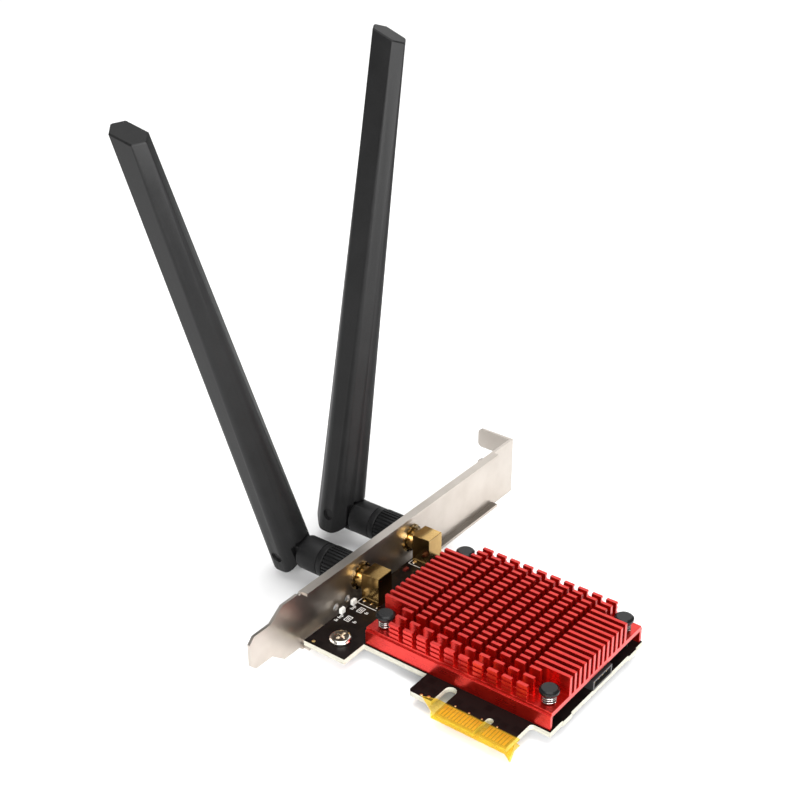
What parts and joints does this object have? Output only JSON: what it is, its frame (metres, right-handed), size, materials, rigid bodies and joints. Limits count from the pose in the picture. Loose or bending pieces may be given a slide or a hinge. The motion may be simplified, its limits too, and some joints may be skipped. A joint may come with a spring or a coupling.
{
  "type": "pcie wifi card",
  "caption": "Desktop wireless network card with a red finned heat sink, slot bracket, edge contacts and folding aerials that add wireless networking to a computer.",
  "frame": {"origin": "key notch centre line on the edge tongue's leading edge, at the board's component face", "axes": "+X from the bracket to the card's far end, +Y from the edge tongue to the card's back, +Z out of the board's component face"},
  "size_m": [0.1087, 0.121, 0.1492],
  "materials": {
    "board_black": "black solder mask, satin",
    "contact_gold": "gold plated",
    "film_amber": "clear amber film",
    "sink_red": "red anodised, satin",
    "pin_black": "moulded, satin",
    "plated_steel": "nickel plated, satin",
    "bright_steel": "bright nickel",
    "jack_gold": "gold plated",
    "aerial_black": "moulded, fine grain",
    "module_green": "green solder mask",
    "pad_grey": "soft pad",
    "header_black": "moulded",
    "lamp_white": "clear resin",
    "chip_red": "glossy"
  },
  "bodies": {
    "card": {"circuit_board": "board_black", "edge_contacts": "contact_gold", "contact_film": "film_amber", "heat_sink": "sink_red", "wifi_module": "module_green", "module_shield": "plated_steel", "thermal_pad": "pad_grey", "header_housing": "header_black", "header_pins": "contact_gold", "bracket": "plated_steel", "bracket_screw": "bright_steel", "jack_left": "jack_gold", "jack_right": "jack_gold", "jack_washers": "bright_steel", "jack_nuts": "jack_gold", "status_lamps": "lamp_white", "chip_part": "chip_red", "pin_spring_near_front": "bright_steel", "pin_spring_near_back": "bright_steel", "pin_spring_far_front": "bright_steel", "pin_spring_far_back": "bright_steel"},
    "push_pin_near_front": {"push_pin_near_front": "pin_black"},
    "push_pin_near_back": {"push_pin_near_back": "pin_black"},
    "push_pin_far_front": {"push_pin_far_front": "pin_black"},
    "push_pin_far_back": {"push_pin_far_back": "pin_black"},
    "coupling_left": {"coupling_nut_left": "aerial_black"},
    "hinge_base_left": {"hinge_base_left": "aerial_black"},
    "blade_left": {"blade_left": "aerial_black", "hinge_pin_left": "aerial_black", "radiator_left": "contact_gold"},
    "coupling_right": {"coupling_nut_right": "aerial_black"},
    "hinge_base_right": {"hinge_base_right": "aerial_black"},
    "blade_right": {"blade_right": "aerial_black", "hinge_pin_right": "aerial_black", "radiator_right": "contact_gold"}
  },
  "joints": [
    {"name": "push_pin_near_front_press", "type": "slide", "parent": "card", "child": "push_pin_near_front", "axis": [0, 0, -1], "range_m": [0, 0.001], "stiffness_N_per_m": 400, "deforming": ["pin_spring_near_front"]},
    {"name": "push_pin_near_back_press", "type": "slide", "parent": "card", "child": "push_pin_near_back", "axis": [0, 0, -1], "range_m": [0, 0.001], "stiffness_N_per_m": 400, "deforming": ["pin_spring_near_back"]},
    {"name": "push_pin_far_front_press", "type": "slide", "parent": "card", "child": "push_pin_far_front", "axis": [0, 0, -1], "range_m": [0, 0.001], "stiffness_N_per_m": 400, "deforming": ["pin_spring_far_front"]},
    {"name": "push_pin_far_back_press", "type": "slide", "parent": "card", "child": "push_pin_far_back", "axis": [0, 0, -1], "range_m": [0, 0.001], "stiffness_N_per_m": 400, "deforming": ["pin_spring_far_back"]},
    {"name": "coupling_left_spin", "type": "hinge", "parent": "card", "child": "coupling_left", "pos_m": [-0.0847, 0.0292, 0.00545], "axis": [1, 0, 0], "continuous": true},
    {"name": "aerial_left_swivel", "type": "hinge", "parent": "card", "child": "hinge_base_left", "pos_m": [-0.0847, 0.0292, 0.00545], "axis": [1, 0, 0], "range_deg": [-18, 72]},
    {"name": "aerial_left_fold", "type": "hinge", "parent": "hinge_base_left", "child": "blade_left", "pos_m": [-0.0847, 0.0292, 0.00545], "axis": [0, 0.9511, 0.3089], "range_deg": [-88.2, 4.2]},
    {"name": "coupling_right_spin", "type": "hinge", "parent": "card", "child": "coupling_right", "pos_m": [-0.0847, 0.05235, 0.00545], "axis": [1, 0, 0], "continuous": true},
    {"name": "aerial_right_swivel", "type": "hinge", "parent": "card", "child": "hinge_base_right", "pos_m": [-0.0847, 0.05235, 0.00545], "axis": [1, 0, 0], "range_deg": [-82.5, 7.4]},
    {"name": "aerial_right_fold", "type": "hinge", "parent": "hinge_base_right", "child": "blade_right", "pos_m": [-0.0847, 0.05235, 0.00545], "axis": [0, 0.9916, -0.1293], "range_deg": [-92.1, 0.3]}
  ]
}
